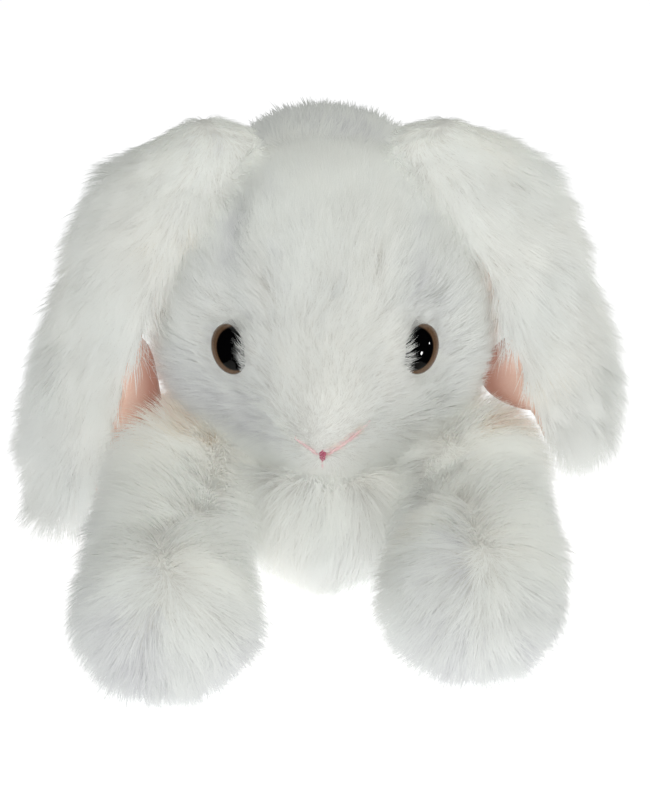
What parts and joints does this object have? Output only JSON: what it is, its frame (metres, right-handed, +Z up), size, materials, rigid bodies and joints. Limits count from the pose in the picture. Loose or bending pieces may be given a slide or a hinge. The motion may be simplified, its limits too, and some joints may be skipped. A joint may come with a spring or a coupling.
{
  "type": "plush rabbit",
  "caption": "Long-pile plush lop-eared rabbit lying on its belly, with safety eyes, lined drooping ears and a head, ears, legs and tail that move at their seams.",
  "frame": {"origin": "on the floor, under the middle of the rabbit's box", "axes": "+Z up, the rabbit faces -Y, +X is its left-hand side (image right seen from the front)"},
  "size_m": [0.187, 0.3398, 0.1403],
  "materials": {
    "fur": "long soft white pile",
    "lining": "short salmon-pink velour",
    "fibre": "loose polyester fibre",
    "thread": "satin pink thread",
    "eye": "polished, black pupil with a brown ring",
    "washer": "moulded"
  },
  "bodies": {
    "torso": {"belly_panel": "fur", "body_side_left": "fur", "body_side_right": "fur", "body_stuffing": "fibre"},
    "neck": {"neck_stuffing": "fibre"},
    "head": {"head_side_left": "fur", "head_side_right": "fur", "head_gusset": "fur", "chin_panel": "fur", "head_stuffing": "fibre", "nose_stitching": "thread", "mouth_stitching": "thread", "eye_left": "eye", "eye_washer_left": "washer", "eye_right": "eye", "eye_washer_right": "washer"},
    "ear_left": {"ear_left_outer": "fur", "ear_left_lining": "lining"},
    "ear_right": {"ear_right_outer": "fur", "ear_right_lining": "lining"},
    "tail": {"tail_cover": "fur", "tail_stuffing": "fibre"},
    "front_leg_left": {"front_leg_left_outer": "fur", "front_leg_left_inner": "fur", "front_leg_left_stuffing": "fibre"},
    "front_leg_right": {"front_leg_right_outer": "fur", "front_leg_right_inner": "fur", "front_leg_right_stuffing": "fibre"},
    "hind_leg_left": {"hind_leg_left_outer": "fur", "hind_leg_left_inner": "fur", "hind_leg_left_stuffing": "fibre"},
    "hind_leg_right": {"hind_leg_right_outer": "fur", "hind_leg_right_inner": "fur", "hind_leg_right_stuffing": "fibre"}
  },
  "joints": [
    {"name": "head_turn", "type": "hinge", "parent": "torso", "child": "neck", "pos_m": [0.00199, -0.05408, 0.081], "axis": [0, 0, 1], "range_deg": [-6, 6], "stiffness_Nm_per_rad": 0.25},
    {"name": "head_nod", "type": "hinge", "parent": "neck", "child": "head", "pos_m": [0.00199, -0.05408, 0.081], "axis": [1, 0, 0], "range_deg": [-8, 8], "stiffness_Nm_per_rad": 0.4},
    {"name": "ear_left_lift", "type": "hinge", "parent": "head", "child": "ear_left", "pos_m": [-0.03201, -0.04608, 0.131], "axis": [0, 1, 0], "range_deg": [0, 65]},
    {"name": "ear_right_lift", "type": "hinge", "parent": "head", "child": "ear_right", "pos_m": [0.03599, -0.04608, 0.131], "axis": [0, -1, 0], "range_deg": [0, 65]},
    {"name": "front_leg_left_lift", "type": "hinge", "parent": "torso", "child": "front_leg_left", "pos_m": [-0.04001, -0.07608, 0.032], "axis": [-1, 0, 0], "range_deg": [0, 25], "stiffness_Nm_per_rad": 0.06},
    {"name": "front_leg_right_lift", "type": "hinge", "parent": "torso", "child": "front_leg_right", "pos_m": [0.04399, -0.07608, 0.032], "axis": [-1, 0, 0], "range_deg": [0, 25], "stiffness_Nm_per_rad": 0.06},
    {"name": "hind_leg_left_swing", "type": "hinge", "parent": "torso", "child": "hind_leg_left", "pos_m": [-0.03801, 0.08792, 0.026], "axis": [0, 0, 1], "range_deg": [0, 30], "stiffness_Nm_per_rad": 0.06},
    {"name": "hind_leg_right_swing", "type": "hinge", "parent": "torso", "child": "hind_leg_right", "pos_m": [0.04199, 0.08792, 0.026], "axis": [0, 0, -1], "range_deg": [0, 30], "stiffness_Nm_per_rad": 0.06},
    {"name": "tail_tip", "type": "hinge", "parent": "torso", "child": "tail", "pos_m": [0.00199, 0.13492, 0.046], "axis": [1, 0, 0], "range_deg": [-15, 15], "stiffness_Nm_per_rad": 0.02}
  ]
}
